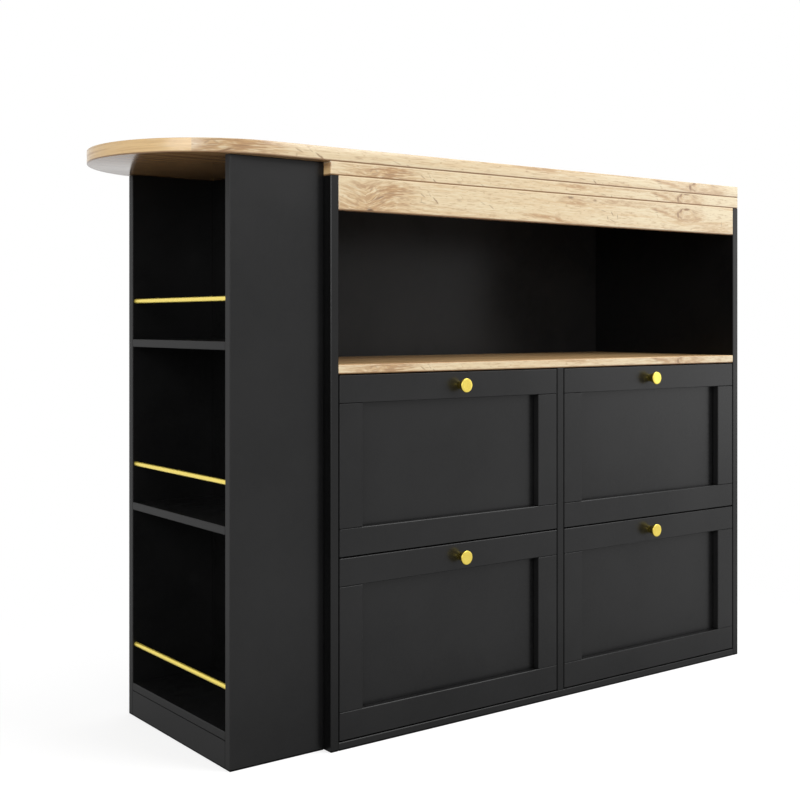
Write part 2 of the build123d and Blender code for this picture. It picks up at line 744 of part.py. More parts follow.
    with BuildPart() as inner_runners:
        inner_reach = runner_space - inner_start
        for side in (-1, 1):
            web_x = centre_x + side * box_width / 2
            with BuildSketch(Plane.XZ.offset(-runner_middle_y)):
                with Locations((web_x + side * inner_reach / 2, runner_z)):
                    Rectangle(inner_reach, inner_height)
                with Locations((web_x + side * (inner_reach + runner_sheet) / 2, runner_z)):
                    Rectangle(inner_reach - runner_sheet, inner_hollow, mode=Mode.SUBTRACT)
            extrude(amount=runner_length / 2, both=True)
            with BuildSketch(Plane.YZ.offset(web_x)):
                with Locations(*[(y, runner_z) for y in runner_screw_rows]):
                    Circle(runner_screw_hole)
            extrude(amount=side * runner_sheet, mode=Mode.SUBTRACT)
    save(inner_runners, f"{place}_inner_runners")

    with BuildPart() as middle_runners:
        middle_width = middle_reach - middle_start
        for side in (-1, 1):
            web_x = centre_x + side * (opening_width / 2 - middle_start)
            with BuildSketch(Plane.XZ.offset(-runner_middle_y)):
                with Locations((web_x - side * middle_width / 2, runner_z)):
                    Rectangle(middle_width, middle_height)
                with Locations((web_x - side * (middle_width + runner_sheet) / 2, runner_z)):
                    Rectangle(middle_width - runner_sheet, middle_hollow, mode=Mode.SUBTRACT)
            extrude(amount=runner_length / 2, both=True)
    save(middle_runners, f"{place}_middle_runners")


build_drawer("upper_left_drawer", -opening_x, upper_front_z)
build_drawer("upper_right_drawer", opening_x, upper_front_z)
build_drawer("lower_left_drawer", -opening_x, lower_front_z)
build_drawer("lower_right_drawer", opening_x, lower_front_z)
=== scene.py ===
import bpy
import bmesh
import json
import math
import random
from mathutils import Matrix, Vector


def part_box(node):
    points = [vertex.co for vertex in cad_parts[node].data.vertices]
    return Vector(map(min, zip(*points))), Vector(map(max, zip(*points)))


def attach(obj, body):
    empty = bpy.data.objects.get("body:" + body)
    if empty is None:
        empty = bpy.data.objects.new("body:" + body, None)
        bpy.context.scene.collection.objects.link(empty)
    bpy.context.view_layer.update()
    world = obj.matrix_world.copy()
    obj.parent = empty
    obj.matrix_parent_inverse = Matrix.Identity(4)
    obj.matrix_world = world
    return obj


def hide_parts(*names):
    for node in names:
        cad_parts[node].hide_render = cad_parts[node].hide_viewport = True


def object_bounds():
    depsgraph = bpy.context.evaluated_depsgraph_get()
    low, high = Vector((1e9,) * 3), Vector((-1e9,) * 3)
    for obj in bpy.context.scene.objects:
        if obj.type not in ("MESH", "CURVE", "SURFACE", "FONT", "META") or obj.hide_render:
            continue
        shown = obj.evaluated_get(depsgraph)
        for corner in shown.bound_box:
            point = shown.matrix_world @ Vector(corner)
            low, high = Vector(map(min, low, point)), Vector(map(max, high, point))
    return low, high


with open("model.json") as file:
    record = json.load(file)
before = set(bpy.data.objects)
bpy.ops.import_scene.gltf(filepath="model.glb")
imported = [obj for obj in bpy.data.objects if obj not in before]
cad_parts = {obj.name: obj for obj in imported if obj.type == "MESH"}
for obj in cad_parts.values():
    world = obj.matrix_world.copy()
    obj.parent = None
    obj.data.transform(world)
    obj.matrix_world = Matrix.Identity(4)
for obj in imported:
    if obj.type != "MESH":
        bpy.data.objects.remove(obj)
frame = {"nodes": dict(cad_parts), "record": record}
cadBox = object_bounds()
record = frame["record"]
nodes = frame["nodes"]
millimetre = 0.001
drawerPlaces = ("upper_left", "upper_right", "lower_left", "lower_right")
print("frame loaded,", len(nodes), "CAD nodes")


# node trees, for finishes and for geometry alike
class Wire:
    # a socket of a tree: sums on it add Math nodes
    def __init__(self, tree, socket):
        self.tree = tree
        self.socket = socket

    def math(self, operation, *others):
        sockets = dict(enumerate((self,) + others))
        return self.tree.node("ShaderNodeMath", {"operation": operation}, sockets)

    def flipped(self, operation, other):
        return self.tree.node("ShaderNodeMath", {"operation": operation}, {0: other, 1: self})

    def __add__(self, other):
        return self.math("ADD", other)

    def __radd__(self, other):
        return self.flipped("ADD", other)

    def __sub__(self, other):
        return self.math("SUBTRACT", other)

    def __rsub__(self, other):
        return self.flipped("SUBTRACT", other)

    def __mul__(self, other):
        return self.math("MULTIPLY", other)

    def __rmul__(self, other):
        return self.flipped("MULTIPLY", other)

    def __truediv__(self, other):
        return self.math("DIVIDE", other)

    def __gt__(self, other):
        return self.math("GREATER_THAN", other)

    def __lt__(self, other):
        return self.math("LESS_THAN", other)

    def size(self):
        return self.math("ABSOLUTE")

    def capped(self):
        return self.math("MINIMUM", 1.0).math("MAXIMUM", 0.0)


class Tree:
    def __init__(self, nodeTree):
        self.nodeTree = nodeTree

    def node(self, kind, settings=None, sockets=None, out=0):
        made = self.nodeTree.nodes.new(kind)
        for name, value in (settings or {}).items():
            setattr(made, name, value)
        for name, value in (sockets or {}).items():
            if isinstance(value, Wire):
                value = [value]
            if isinstance(value, list):
                for wire in value:
                    self.nodeTree.links.new(wire.socket, made.inputs[name])
            else:
                made.inputs[name].default_value = value
        return None if out is None else Wire(self, made.outputs[out])

    def outputs(self, wire):
        # every output of the node that a wire comes from
        return [Wire(self, socket) for socket in wire.socket.node.outputs]

    def vector(self, x, y, z=0.0):
        return self.node("ShaderNodeCombineXYZ", None, {0: x, 1: y, 2: z})

    def split(self, vector):
        return self.outputs(self.node("ShaderNodeSeparateXYZ", None, {0: vector}))

    def noise(self, vector, scale=1.0, detail=2.0, roughness=0.5, distortion=0.0):
        sockets = {"Vector": vector, "Scale": scale, "Detail": detail,
                   "Roughness": roughness, "Distortion": distortion}
        return self.node("ShaderNodeTexNoise", {"noise_dimensions": "3D"}, sockets)

    def between(self, value, low, high, first=0.0, last=1.0):
        # smooth step from first to last as value goes from low to high
        return self.node("ShaderNodeMapRange", {"interpolation_type": "SMOOTHSTEP"},
                         {0: value, 1: low, 2: high, 3: first, 4: last})

    def blendValue(self, factor, first, last):
        return self.node("ShaderNodeMix", {"data_type": "FLOAT"}, {0: factor, 2: first, 3: last})

    def blendColour(self, factor, first, last, how="MIX"):
        settings = {"data_type": "RGBA", "blend_type": how}
        sockets = {0: factor, 6: asColour(first), 7: asColour(last)}
        return self.node("ShaderNodeMix", settings, sockets, 2)

    def spot(self, vector, at, size, turn=0.0):
        # a soft oval: 1 in its middle, 0 past its edge
        local = self.node("ShaderNodeMapping", {"vector_type": "TEXTURE"},
                          {0: vector, 1: (at[0], at[1], 0.0), 2: (0.0, 0.0, math.radians(turn)),
                           3: (size[0], size[1], 1.0)})
        return self.node("ShaderNodeTexGradient", {"gradient_type": "SPHERICAL"}, {0: local}, 1)


def asColour(value):
    if isinstance(value, Wire):
        return value
    return (value[0], value[1], value[2], 1.0)


class Finish(Tree):
    # a material's tree, with its shader and where on the piece it is read
    def __init__(self, name):
        self.material = bpy.data.materials.new(name)
        self.material.use_nodes = True
        super().__init__(self.material.node_tree)
        self.nodeTree.nodes.clear()
        self.place = self.node("ShaderNodeTexCoord", None, None, 3)
        self.facing = self.outputs(self.place)[1]

    def shade(self, height, bump, sockets):
        # the surface shader: what varies is a wire, a constant sits on its own socket
        relief = {"Height": height, "Strength": bump[0], "Distance": bump[1]}
        values = dict(sockets, Normal=self.node("ShaderNodeBump", None, relief))
        shader = self.node("ShaderNodeBsdfPrincipled", None, values)
        self.node("ShaderNodeOutputMaterial", None, {0: shader}, None)
        return self.material


# a face counts as turned some way once its normal leans this far
faceLimit = 0.6

# oak-look decor foil: one printed sheet, cut at another place for each board
# places on the sheet are (along, across) in metres; half sizes likewise, turns in degrees
oakSheet = dict(
    pale=(0.732, 0.596, 0.386), wheat=(0.650, 0.480, 0.275), honey=(0.560, 0.348, 0.160),
    brown=(0.385, 0.226, 0.114), umber=(0.200, 0.100, 0.042), dark=(0.110, 0.058, 0.028),
    # the gold colours: a deeper, redder tone, partly the decor's and partly painted shade on faces turned
    # from the lamps
    goldShadeLight=(0.770, 0.530, 0.258), goldShadeDeep=(0.440, 0.232, 0.088),
    # the first two colours on the next line are painted light: a brighter, redder copy of the decor for
    # downward faces
    underLightPale=(1.000, 0.680, 0.310), underLightDeep=(0.330, 0.150, 0.070), cream=(0.762, 0.675, 0.475),
    # bright: the colour of the painted highlight along upper edges
    bright=(0.900, 0.770, 0.550),
    wander=0.006, ripple=0.0018,        # how far the grain lines stray, slowly and quickly
    sway=0.016, bend=0.005,             # how far a spine strays, and how softly lines turn at it
    foldPower=2.0,                      # how steeply the lines run down to a spine
    parting=0.6,                        # how softly the lines part at a knot, as a share of its radius
    rimWobble=1.4,                      # how far a knot's rim strays
    rimSide=(-0.005, 0.007, 1.0, 0.3),  # a rim fades to its right
    straight=0.8,                       # how straight the grain on flat faces is
    quiet=0.7,                          # how much straight grain loses of its dashes and specks
    paler=(-0.1, 0.3),                  # the sheet turns paler along this stretch
    waves=dict(rate=200.0, sweep=16.0, height=0.5),     # bands on the undersides
    featherPower=0.6, plumeSway=2.6,
    roughness=0.20, lowRoughness=0.16, bump=(0.12, 0.0004),
    rougher=dict(stripe=0.05, crack=0.2, hair=0.04),
    relief=dict(stripe=-0.4, hair=-0.5, crack=-1.0),
    # noise: repeats per metre along and across the grain, layer, detail, roughness
    noise=dict(
        stray=(2.3, 16.0, 0.0, 2.0, 0.5), ripple=(30.0, 70.0, 5.2, 1.0, 0.5),
        sway=(22.0, 75.0, 3.8, 2.0, 0.5), patch=(70.0, 160.0, 8.3, 2.0, 0.5),
        tone=(1.7, 34.0, 3.1, 3.0, 0.55), lines=(5.0, 150.0, 7.7, 3.0, 0.6),
        dashes=(48.0, 430.0, 2.4, 2.0, 0.6), hairs=(45.0, 800.0, 1.9, 2.0, 0.6),
        specks=(110.0, 260.0, 9.1, 1.0, 0.5), sweep=(3.0, 14.0, 4.4, 2.0, 0.5),
        plume=(44.0, 360.0, 6.6, 2.5, 0.6),
    ),
    # where a noise begins and ends to show as a mark, for some with the values there
    steps=dict(
        body=(0.32, 0.72), stripe=(0.48, 0.72), dash=(0.52, 0.68), gleam=(0.46, 0.32), hair=(0.52, 0.74),
        speck=(0.66, 0.76), deep=(0.42, 0.60), vein=(0.55, 1.05), plume=(0.50, 0.62), plumeGap=(0.47, 0.36),
        cloud=(0.38, 0.64, 0.20, 1.00), rim=(0.06, 0.36), rimBreak=(0.40, 0.56), core=(0.35, 1.0),
        coreBreak=(0.30, 0.55, 0.5, 1.0), crack=(0.0, 0.6), crackBreak=(0.30, 0.62, 0.6, 1.1),
    ),
    # how strongly each mark covers what is below it
    cover=dict(
        paler=0.5, stripe=0.50, cloudTint=0.55, featherTint=0.34, cloud=0.65, plume=0.76, plumeGap=0.85,
        dash=0.38, gleam=0.45, hair=0.25, speck=0.45, crack=0.78,
    ),
    # where the lines fold down to a spine: spine, reach to its left and right, depth, fades out over
    folds=(
        dict(spine=-0.432, left=0.150, right=0.072, depth=0.024, fade=(0.870, 0.930)),
        dict(spine=-0.012, left=0.075, right=0.065, depth=0.006, fade=(0.868, 0.895)),
    ),
    # feathered figure: lines show up strongly here
    feathers=(
        ((-0.408, 0.876), (0.100, 0.045), 4, 1.0),
        ((-0.375, 0.898), (0.060, 0.014), 4, 0.6),
        ((0.343, 0.894), (0.060, 0.022), 0, 0.6),
    ),
    # each knot: place, half height, how much longer than high, how much its rim and its core show
    knots=(
        dict(at=(0.343, 0.8935), radius=0.0105, longer=2.6, rim=0.62, core=0.0),
        dict(at=(0.026, 0.9097), radius=0.0030, longer=3.0, rim=0.60, core=0.60),
        dict(at=(0.088, 0.9072), radius=0.0028, longer=1.8, rim=0.55, core=0.55),
        dict(at=(-0.424, 0.8615), radius=0.0050, longer=1.9, rim=0.60, core=1.0),
    ),
    # brown clouds: place, half size, turn, strength
    clouds=(
        ((-0.373, 0.8995), (0.050, 0.010), 2, 0.85),
        ((-0.418, 0.878), (0.095, 0.042), 6, 0.80),
        ((-0.450, 0.864), (0.050, 0.010), -4, 0.45),
        ((0.034, 0.9025), (0.048, 0.009), -6, 1.25),
        ((0.110, 0.908), (0.120, 0.008), -2, 0.70),
        ((-0.055, 0.872), (0.060, 0.0050), -3, 1.50),
        ((-0.010, 0.868), (0.045, 0.0045), -8, 1.60),
        ((0.060, 0.862), (0.120, 0.004), -2, 0.90),
        ((0.279, 0.8935), (0.045, 0.0055), -11, 1.25),
        ((0.288, 0.9015), (0.036, 0.0050), -10, 0.55),
        ((0.347, 0.8820), (0.050, 0.0050), 3, 1.40),
        ((0.385, 0.8900), (0.030, 0.0060), 8, 0.50),
        ((0.345, 0.8940), (0.060, 0.020), 0, 0.65),
        ((0.230, 0.905), (0.120, 0.010), -2, 0.55),
        ((-0.220, 0.872), (0.120, 0.005), -2, 0.35),
        ((0.430, 0.868), (0.090, 0.016), 0, 0.75),
    ),
    # cracks: place, half size, turn, strength
    cracks=(
        ((-0.2905, 0.8870), (0.0085, 0.0017), -44, 0.85),
        ((-0.2860, 0.8835), (0.0060, 0.0016), -58, 0.75),
        ((-0.3010, 0.8940), (0.0045, 0.0013), -45, 0.55),
        ((-0.3195, 0.8850), (0.0055, 0.0014), 88, 0.40),
        ((-0.4050, 0.8838), (0.0150, 0.0022), 23, 1.00),
        ((-0.4215, 0.8965), (0.0050, 0.0018), 42, 0.60),
        ((-0.4120, 0.8970), (0.0050, 0.0018), -42, 0.45),
        ((-0.3850, 0.8925), (0.0140, 0.0018), 8, 0.55),
        ((-0.1660, 0.8820), (0.0085, 0.0016), -31, 0.75),
        ((-0.1850, 0.8870), (0.0080, 0.0015), -24, 0.50),
        ((-0.2380, 0.8890), (0.0080, 0.0015), -12, 0.50),
        ((0.1100, 0.8895), (0.0090, 0.0015), -10, 0.65),
        ((0.1330, 0.8855), (0.0075, 0.0017), -52, 0.85),
        ((0.1473, 0.8805), (0.0065, 0.0016), -84, 0.80),
        ((0.1210, 0.8770), (0.0050, 0.0018), -70, 0.80),
        ((0.1950, 0.8840), (0.0045, 0.0014), 86, 0.50),
        ((0.4486, 0.8800), (0.0070, 0.0015), 84, 0.65),
        ((0.3430, 0.9046), (0.0130, 0.0030), 3, 1.30),
        ((0.3260, 0.9015), (0.0090, 0.0024), 38, 1.10),
        ((0.3172, 0.8925), (0.0075, 0.0034), 98, 1.00),
        ((0.3640, 0.9000), (0.0080, 0.0018), -34, 0.50),
        ((0.2530, 0.8985), (0.0075, 0.0018), -6, 0.70),
        ((0.2560, 0.8945), (0.0065, 0.0016), 4, 0.60),
        ((0.3560, 0.8655), (0.0035, 0.0020), 60, 0.60),
    ),
)


def oakNoise(finish, kind, along, across, shift=None):
    alongRate, acrossRate, layer, detail, roughness = oakSheet["noise"][kind]
    aside = across * acrossRate
    if shift is not None:
        aside = aside + shift
    return finish.noise(finish.vector(along * alongRate, aside, layer), 1.0, detail, roughness)


def foldLines(finish, line, along, across, sway, folded):
    for fold in oakSheet["folds"]:
        off = along - fold["spine"] + sway * oakSheet["sway"]
        reach = fold["right"] + (off < 0.0) * (fold["left"] - fold["right"])
        bent = (off * off + oakSheet["bend"] ** 2).math("SQRT")
        share = (1.0 - bent / reach).capped().math("POWER", oakSheet["foldPower"])
        fade = finish.between(across, fold["fade"][0], fold["fade"][1], 1.0, 0.0)
        line = line + share * (fold["depth"] * folded) * fade
    return line


def partLines(finish, line, along, across, patch):
    # the lines part round a knot, as water does round a post; also where knots' rims and cores show
    steps = oakSheet["steps"]
    rims = 0.0
    cores = 0.0
    for knot in oakSheet["knots"]:
        left = (along - knot["at"][0]) / knot["longer"]
        up = across - knot["at"][1]
        square = left * left + up * up
        line = line - up * (knot["radius"] ** 2) / (square + (oakSheet["parting"] * knot["radius"]) ** 2)
        reach = square.math("SQRT") / knot["radius"]
        ring = (reach + (patch - 0.5) * oakSheet["rimWobble"] - 1.0).size()
        side = finish.between(left, *oakSheet["rimSide"])
        rims = rims + finish.between(ring, *steps["rim"], knot["rim"], 0.0) * side
        cores = cores + finish.between(reach, *steps["core"], knot["core"], 0.0)
    rims = rims * finish.between(patch, *steps["rimBreak"])
    cores = cores * finish.between(patch, *steps["coreBreak"])
    return line, rims.capped(), cores.capped()


def sumSpots(finish, flat, spots, shaped=None):
    total = 0.0
    for at, half, turn, strength in spots:
        spot = finish.spot(flat, at, half, turn)
        if shaped:
            spot = shaped(spot)
        total = total + spot * strength
    return total


def oakDecor(finish, board, along, across, smooth, goldAndShade, paintedUnderLight, paintedEdgeHighlight, shade, gloss):
    # smooth is 1 where the grain runs long and straight; the gold mask is where the sheet turns a deeper,
    # redder gold, partly the decor's tone and partly painted shade; the under mask is painted light on
    # downward faces; the highlight mask is a painted highlight along an upper edge; shade is a dark line
    # along a board's lower edge;
    # gloss is the plain roughness
    sheet = oakSheet
    steps = sheet["steps"]
    cover = sheet["cover"]
    flat = finish.vector(along, across)
    stray = oakNoise(finish, "stray", along, across) - 0.5
    ripple = oakNoise(finish, "ripple", along, across) - 0.5
    sway = oakNoise(finish, "sway", along, across) - 0.5
    patch = oakNoise(finish, "patch", along, across)
    line = across + stray * sheet["wander"] + ripple * sheet["ripple"] * (1.0 - smooth)
    line = foldLines(finish, line, along, across, sway, board["folded"])
    line, rims, cores = partLines(finish, line, along, across, patch)

    # broad tone, then finer and finer lines along the grain
    rough = 1.0 - smooth * sheet["quiet"]
    tone = oakNoise(finish, "tone", along, line)
    lines = oakNoise(finish, "lines", along, line)
    dashes = oakNoise(finish, "dashes", along, line)
    hairs = oakNoise(finish, "hairs", along, line)
    specks = oakNoise(finish, "specks", along, across)
    stripe = finish.between(lines, *steps["stripe"])
    dash = finish.between(dashes, *steps["dash"]) * rough
    gleam = finish.between(dashes, *steps["gleam"]) * rough
    hair = finish.between(hairs, *steps["hair"])
    speck = finish.between(specks, *steps["speck"]) * rough
    colour = finish.blendColour(finish.between(tone, *steps["body"]), sheet["pale"], sheet["wheat"])
    paler = finish.between(along, *sheet["paler"]) * (1.0 - smooth)
    colour = finish.blendColour(paler * cover["paler"], colour, sheet["cream"])
    deep = finish.between(tone * 0.6 + lines * 0.4, *steps["deep"])
    gold = finish.blendColour(deep, sheet["goldShadeLight"], sheet["goldShadeDeep"])
    # partly painted shade: left-facing ends and the niche shelf's top turn to this deeper gold
    colour = finish.blendColour(goldAndShade, colour, gold)
    # painted light under the boards: downward faces, seen at a low angle, get a brighter and redder copy of
    # the decor in broad bands
    waves = sheet["waves"]
    wave = (line * waves["rate"] + oakNoise(finish, "sweep", along, line) * waves["sweep"]).math("SINE")
    vein = finish.between(wave * waves["height"] + lines, *steps["vein"])
    band = finish.blendColour(vein, sheet["underLightPale"], sheet["underLightDeep"])
    # painted light on downward faces
    colour = finish.blendColour(paintedUnderLight, colour, band)
    colour = finish.blendColour(stripe * cover["stripe"], colour, sheet["honey"])

    # clouds and feathers tint the sheet and break up along the lines
    feather = sumSpots(finish, flat, sheet["feathers"],
                       lambda spot: spot.math("POWER", sheet["featherPower"])).capped()
    cloud = sumSpots(finish, flat, sheet["clouds"] + board["clouds"])
    tint = (cloud * cover["cloudTint"] + feather * cover["featherTint"]).capped()
    colour = finish.blendColour(tint, colour, sheet["honey"])
    cloud = (cloud * finish.between(lines * 0.4 + dashes * 0.6, *steps["cloud"])).capped()
    colour = finish.blendColour(cloud * cover["cloud"], colour, sheet["brown"])
    plume = oakNoise(finish, "plume", along, line, sway * sheet["plumeSway"])
    plumeDark = finish.between(plume, *steps["plume"]) * feather
    plumePale = finish.between(plume, *steps["plumeGap"]) * feather

    # plumes and fine marks, then knots and cracks, then a painted highlight along the upper edge and a dark
    # line along the lower edge
    marks = (("plume", plumeDark, "brown"), ("plumeGap", plumePale, "pale"), ("dash", dash, "brown"),
             ("gleam", gleam, "cream"), ("hair", hair, "brown"), ("speck", speck, "brown"))
    for kind, mark, dye in marks:
        colour = finish.blendColour(mark * cover[kind], colour, sheet[dye])
    colour = finish.blendColour(rims, colour, sheet["brown"])
    crack = sumSpots(finish, flat, sheet["cracks"], lambda spot: finish.between(spot, *steps["crack"]))
    crack = crack * finish.between(hairs, *steps["crackBreak"])
    crack = (crack + strayCracks(finish, flat) * rough).capped()
    colour = finish.blendColour(crack * cover["crack"], colour, sheet["umber"])
    colour = finish.blendColour(cores, colour, sheet["dark"])
    # painted highlight along an upper edge
    colour = finish.blendColour(paintedEdgeHighlight, colour, sheet["bright"])
    # a dark line along a board's lower edge
    colour = finish.blendColour(shade, colour, sheet["umber"])
    relief = sheet["relief"]
    height = stripe * relief["stripe"] + hair * relief["hair"] + crack * relief["crack"]
    rougher = sheet["rougher"]
    roughness = gloss + stripe * rougher["stripe"] + crack * rougher["crack"] + hair * rougher["hair"]
    return finish.shade(height, sheet["bump"], {"Base Color": colour, "Roughness": roughness})


# short slanted marks, one in a few of the cells that cover the sheet
strayMarks = dict(cells=24.0, spread=(0.55, 1.6, 1.0), leastChance=0.72, lean=1.4, leanFrom=-1.5,
                  shortest=0.004, longer=0.005, width=0.0013, edge=0.25, strength=0.65)


def strayCracks(finish, flat):
    marks = strayMarks
    spread = finish.node("ShaderNodeVectorMath", {"operation": "MULTIPLY"}, {0: flat, 1: marks["spread"]})
    cells = finish.outputs(finish.node("ShaderNodeTexVoronoi", {"voronoi_dimensions": "2D"},
                                       {"Vector": spread, "Scale": marks["cells"]}))
    chance, lean, length = finish.outputs(
        finish.node("ShaderNodeSeparateColor", None, {0: cells[1]}))[:3]
    offset = finish.node("ShaderNodeVectorMath", {"operation": "SUBTRACT"}, {0: spread, 1: cells[2]})
    right, up = finish.split(offset)[:2]
    angle = lean * marks["lean"] + marks["leanFrom"]
    reach = marks["shortest"] + length * marks["longer"]
    run = (right * angle.math("COSINE") + up * angle.math("SINE")) / reach
    aside = (up * angle.math("COSINE") - right * angle.math("SINE")) / marks["width"]
    mark = finish.between(run * run + aside * aside, marks["edge"], 1.0, 1.0, 0.0)
    return mark * (chance > marks["leastChance"]) * marks["strength"]


# each board's cut of the sheet: along = (x - fromX) / stretch + toAlong, across = z - fromZ + toAcross
# on its edges and y + faceAcross on its faces; then how deep a gold its left end and its top take, partly the
# decor's tone and partly painted shade, how rough its top is, how strong the painted highlight along its
# upper edge is, how far its lines fold, and clouds of its own
oakBoards = {
    "worktop": dict(
        fromX=0.389, toAlong=0.342, stretch=1.44, fromZ=0.954, toAcross=0.898, faceAcross=0.905,
        goldAndShade=1.0, topGoldAndShade=0.25, topRoughness=0.68, edgeHighlight=0.0, folded=0.15,
        clouds=(((-0.405, 0.892), (0.085, 0.034), 0, 0.25),)),
    "cabinet_top": dict(
        fromX=0.0, toAlong=0.0, stretch=1.0, fromZ=0.9286, toAcross=0.898, faceAcross=1.35,
        goldAndShade=1.0, topGoldAndShade=0.25, topRoughness=0.36, edgeHighlight=0.70, folded=0.3,
        clouds=(((1.508, 0.903), (0.040, 0.012), 0, 1.80),)),
    "apron": dict(
        fromX=0.0, toAlong=0.0, stretch=1.0, fromZ=0.0, toAcross=0.0, faceAcross=1.9,
        goldAndShade=0.5, topGoldAndShade=0.25, topRoughness=0.36, edgeHighlight=0.70, folded=1.0, clouds=()),
    "niche_shelf": dict(
        fromX=0.0, toAlong=0.0, stretch=1.0, fromZ=0.607, toAcross=0.895, faceAcross=2.35,
        goldAndShade=0.5, topGoldAndShade=1.0, topRoughness=0.36, edgeHighlight=0.25, folded=0.3,
        clouds=(((0.340, 0.896), (0.220, 0.025), 0, 0.60),)),
}
# the worktop's edge strip starts again at a seam on the round end, the other boards' strips at each corner
edgeSeam = dict(along=-0.733, jump=2.6, cornerJump=1.7)
# a dark line along the lower edge of each board's band
lowEdgeLine = dict(height=0.0014, strength=0.86)
# height of the painted highlight along each board's upper edge
edgeHighlightHeight = 0.0026
underShift = 3.1


def oakFinish(name):
    board = oakBoards[name]
    finish = Finish("oak_" + name)
    x, y, z = finish.split(finish.place)
    faceX, faceZ = finish.split(finish.facing)[::2]
    flatFace = faceZ.size() > faceLimit
    edgeFace = 1.0 - flatFace
    upper = faceZ > faceLimit
    lower = faceZ < -faceLimit
    if name == "worktop":
        angle = (worktop["arcX"] - x).math("ARCTAN2", y * -1.0)
        aroundEnd = worktop["arcX"] - angle * worktop["radius"]
        edge = finish.blendValue(x < worktop["arcX"], x, aroundEnd)
        past = (edge < edgeSeam["along"]) * edgeFace
        edge = edge + past * edgeSeam["jump"]
    else:
        past = (faceX < -faceLimit) * edgeFace
        edge = finish.blendValue(faceX.size() > faceLimit, x, y + edgeSeam["cornerJump"])
    along = finish.blendValue(flatFace, edge, x)
    along = (along - board["fromX"]) / board["stretch"] + board["toAlong"]
    across = finish.blendValue(flatFace, z - board["fromZ"] + board["toAcross"],
                               y + board["faceAcross"] + lower * underShift)
    # a dark brown line along the lower edge of each board's band, and a painted highlight along its upper
    # edge
    low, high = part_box(name)
    lowEdge = finish.between(z, low.z + lowEdgeLine["height"], low.z + 2 * lowEdgeLine["height"], 1.0, 0.0)
    lighter = finish.between(z, high.z - edgeHighlightHeight, high.z - 0.5 * edgeHighlightHeight) * edgeFace
    smooth = (past + flatFace * oakSheet["straight"]).capped()
    # the gold mask: partly the decor's tone, partly painted shade on left-facing ends and on tops, most on
    # the niche shelf's top
    goldAndShade = past * board["goldAndShade"] + upper * board["topGoldAndShade"]
    gloss = finish.blendValue(upper, oakSheet["roughness"], board["topRoughness"])
    gloss = finish.blendValue(lower, gloss, oakSheet["lowRoughness"])
    # downward faces take the painted light of the undersides
    return oakDecor(finish, board, along, across, smooth, goldAndShade, lower, board["edgeHighlight"] * lighter,
                    lowEdge * lowEdgeLine["strength"], gloss)


# satin black coating on the carcass, the tower and the drawer fronts
blackCoat = dict(
    deep=(0.0060, 0.0060, 0.0062), lighter=(0.0092, 0.0092, 0.0094), wear=(0.3, 0.75),
    # the side and back tones: painted shade that darkens the side panels, painted light that lightens the
    # back panel
    sideShadeTone=0.5, backLightTone=2.2, cloudScale=5.0, pearlScale=1400.0, peelScale=160.0,
    roughness=0.28, bandRoughness=0.53, cloudRough=0.10, pearlRough=0.08, specular=0.26, backSpecular=0.15,
    pearlHeight=0.6, peelHeight=0.8, bump=(0.05, 0.0002),
    # the floor line is the height of a painted contact shadow, the joint line that of a dark line below a
    # joint
    floorShadowLine=0.0022, jointLine=0.0013,
)


def blackFinish(name, banded, specular, tone=1.0, joint=None):
    coat = blackCoat
    finish = Finish(name)
    cloud = finish.noise(finish.place, coat["cloudScale"], 4.0, 0.6)
    pearl = finish.noise(finish.place, coat["pearlScale"], 2.0, 0.6)
    peel = finish.noise(finish.place, coat["peelScale"], 2.0, 0.5)
    colour = finish.blendColour(finish.between(cloud, *coat["wear"]), coat["deep"], coat["lighter"])
    # tone: below 1 paints shade, above 1 paints light on a copy of the coating
    colour = finish.blendColour(1.0, colour, (tone, tone, tone), "MULTIPLY")
    # painted contact shadow: a dark line where a board stands on the floor; also a dark line below a joint at
    # a given height
    z = finish.split(finish.place)[2]
    floorShadowAndJoint = finish.between(z, coat["floorShadowLine"], 1.5 * coat["floorShadowLine"], 1.0, 0.0)
    if joint is not None:
        below = finish.between(z, joint - coat["jointLine"], joint - 0.5 * coat["jointLine"])
        floorShadowAndJoint = (floorShadowAndJoint + below).capped()
    colour = finish.blendColour(floorShadowAndJoint, colour, (0.0, 0.0, 0.0))
    roughness = coat["roughness"]
    if banded:
        # the bands on the boards' left edges are more matt
        band = finish.split(finish.facing)[0] < -faceLimit
        roughness = finish.blendValue(band, roughness, coat["bandRoughness"])
    roughness = roughness + (cloud - 0.5) * coat["cloudRough"] + (pearl - 0.5) * coat["pearlRough"]
    height = pearl * coat["pearlHeight"] + peel * coat["peelHeight"]
    # the painted shadow and the joint line take Metallic on black, which leaves them no reflection
    return finish.shade(height, coat["bump"], {
        "Base Color": colour, "Roughness": roughness, "Metallic": floorShadowAndJoint, "Specular IOR Level": specular})


# matt black foil on the drawer boxes, with a faint pressed grain
boxFoil = dict(
    deep=(0.020, 0.020, 0.021), grey=(0.040, 0.040, 0.041), wear=(0.32, 0.7),
    grain=(40.0, 40.0, 700.0), cloudScale=9.0,
    roughness=0.50, grainRough=0.25, specular=0.4, bump=(0.10, 0.0003),
)


def boxFinish():
    foil = boxFoil
    finish = Finish("drawer_foil")
    x, y, z = finish.split(finish.place)
    pressed = finish.vector(x * foil["grain"][0], y * foil["grain"][1], z * foil["grain"][2])
    grain = finish.noise(pressed, 1.0, 3.0, 0.6)
    cloud = finish.noise(finish.place, foil["cloudScale"], 3.0)
    wear = finish.between(grain * 0.7 + cloud * 0.3, *foil["wear"])
    colour = finish.blendColour(wear, foil["deep"], foil["grey"])
    roughness = foil["roughness"] + (grain - 0.5) * foil["grainRough"]
    return finish.shade(grain, foil["bump"], {
        "Base Color": colour, "Roughness": roughness, "Specular IOR Level": foil["specular"]})


